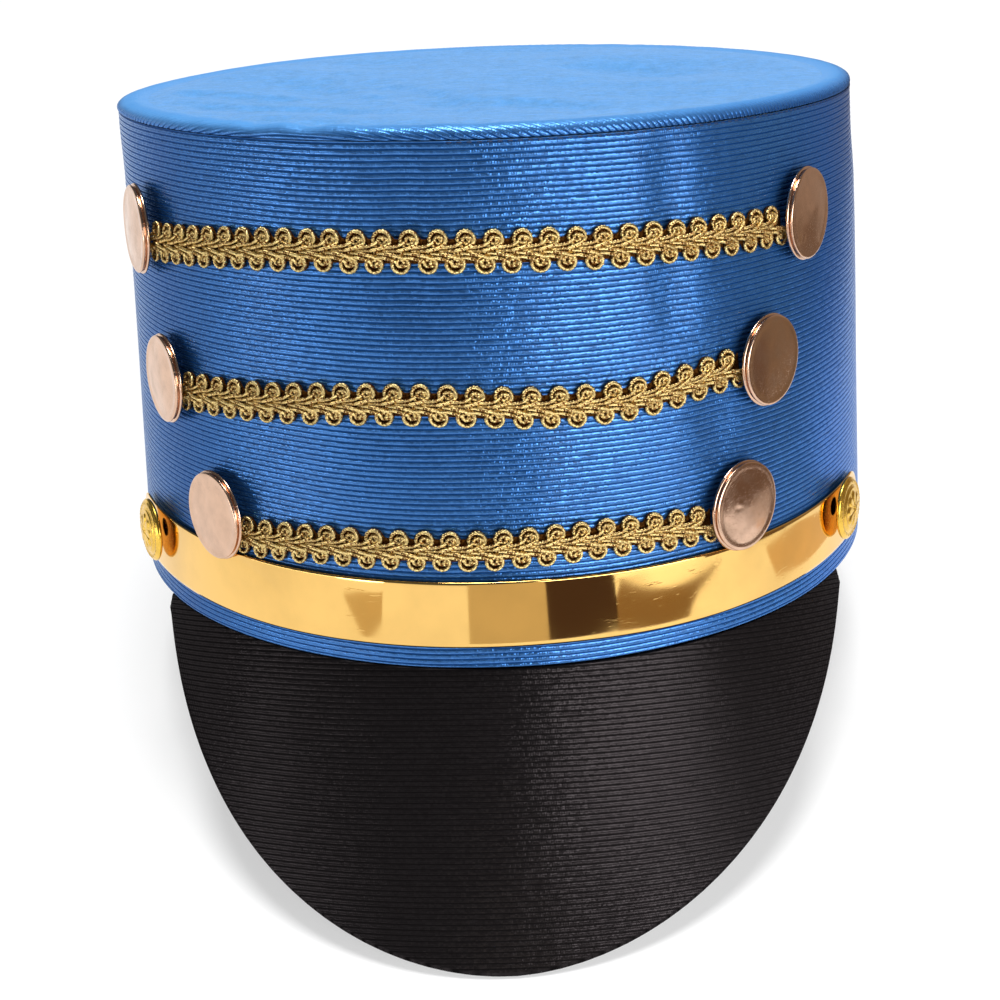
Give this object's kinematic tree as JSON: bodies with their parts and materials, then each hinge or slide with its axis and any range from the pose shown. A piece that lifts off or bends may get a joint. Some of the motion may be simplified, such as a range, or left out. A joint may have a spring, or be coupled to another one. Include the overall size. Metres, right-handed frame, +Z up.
{
  "type": "drum major hat",
  "caption": "Stiff oval parade hat in ribbed blue satin with rows of gold scroll braid between buttons, a mirror gold strap and a steep black peak.",
  "frame": {"origin": "on the floor, under the middle of the hat's bounding box, as it rests tilted back on the edge of its peak and the heel of its rim", "axes": "+Z up, the front of the hat and its peak towards -Y, +X towards the wearer's left"},
  "size_m": [0.178, 0.2582, 0.1599],
  "materials": {
    "blue_satin": "ribbed satin with a strong sheen",
    "blue_satin_top": "the same satin seen flat, lighter and softer",
    "black_satin": "ribbed black satin",
    "gold_foil": "mirror gold metallised film",
    "gold_braid": "twisted metallic gold cord",
    "rose_gold": "polished rose gold plating with fine dents",
    "yellow_gold": "embossed yellow gold plating"
  },
  "bodies": {
    "root": {"crown_side": "blue_satin", "crown_top": "blue_satin_top", "peak": "black_satin", "strap": "gold_foil", "braid_upper": "gold_braid", "braid_middle": "gold_braid", "braid_lower": "gold_braid", "button_upper_left": "rose_gold", "button_upper_right": "rose_gold", "button_middle_left": "rose_gold", "button_middle_right": "rose_gold", "button_lower_left": "rose_gold", "button_lower_right": "rose_gold", "side_button_left": "yellow_gold", "side_button_right": "yellow_gold"}
  },
  "joints": []
}
